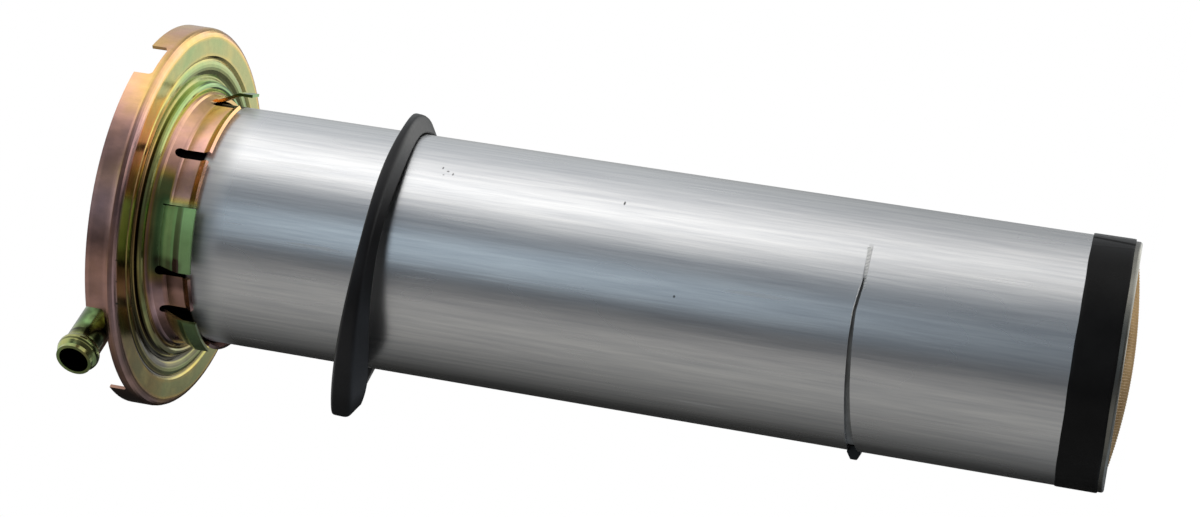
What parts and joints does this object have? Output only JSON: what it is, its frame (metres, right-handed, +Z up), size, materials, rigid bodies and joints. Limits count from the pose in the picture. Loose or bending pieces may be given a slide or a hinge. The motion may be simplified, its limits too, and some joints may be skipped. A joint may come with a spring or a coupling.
{
  "type": "fuel tank sending unit",
  "caption": "Dip tube fuel level sender: notched, plated twist lock flange with a hose pipe, slotted collar, aluminium guard tube, loose gasket ring, and a domed mesh strainer at the end.",
  "frame": {"origin": "centre of the flange's seat plane, on the tube's axis", "axes": "+Z up along the tube's axis, out of the tank; the hose pipe leaves in the -X, -Y quarter"},
  "size_m": [0.0876, 0.0876, 0.2293],
  "materials": {
    "zinc_plate": "yellow passivated zinc, iridescent",
    "aluminium_tube": "brushed along the axis",
    "tape": "black vinyl tape",
    "rim_metal": "bright",
    "brass_mesh": "fine woven wire",
    "rubber": "matte",
    "brass": "plain",
    "insulator": "moulded",
    "paper_resin": "pressed board",
    "steel": "plain zinc",
    "float_foam": "closed cell foam",
    "bush_plastic": "natural"
  },
  "bodies": {
    "housing": {"flange_cap": "zinc_plate", "neck_collar": "zinc_plate", "guard_tube": "aluminium_tube", "tape_band": "tape", "strainer_rim": "rim_metal", "strainer_dome": "brass_mesh", "hose_pipe": "zinc_plate", "pipe_ferrule": "zinc_plate", "terminal_block": "insulator", "terminal_seal": "rubber", "terminal_blades": "brass", "terminal_studs": "brass", "block_rivets": "steel", "spacer_posts": "steel", "post_rivets": "steel", "upper_plate": "paper_resin", "lower_plate": "paper_resin", "guide_rod": "steel", "rod_nuts": "steel", "resistance_wires": "steel", "wire_anchors": "brass", "stop_bumpers": "rubber", "warning_contact": "brass"},
    "float": {"float": "float_foam", "float_bush": "bush_plastic", "contact_bridge": "brass", "bridge_clip": "steel"},
    "gasket": {"gasket_ring": "rubber"}
  },
  "joints": [
    {"name": "float_slide", "type": "slide", "parent": "housing", "child": "float", "axis": [0, 0, 1], "range_m": [0, 0.15]},
    {"name": "gasket_slide", "type": "slide", "parent": "housing", "child": "gasket", "axis": [0, 0, -1], "range_m": [-0.018, 0.13]}
  ]
}
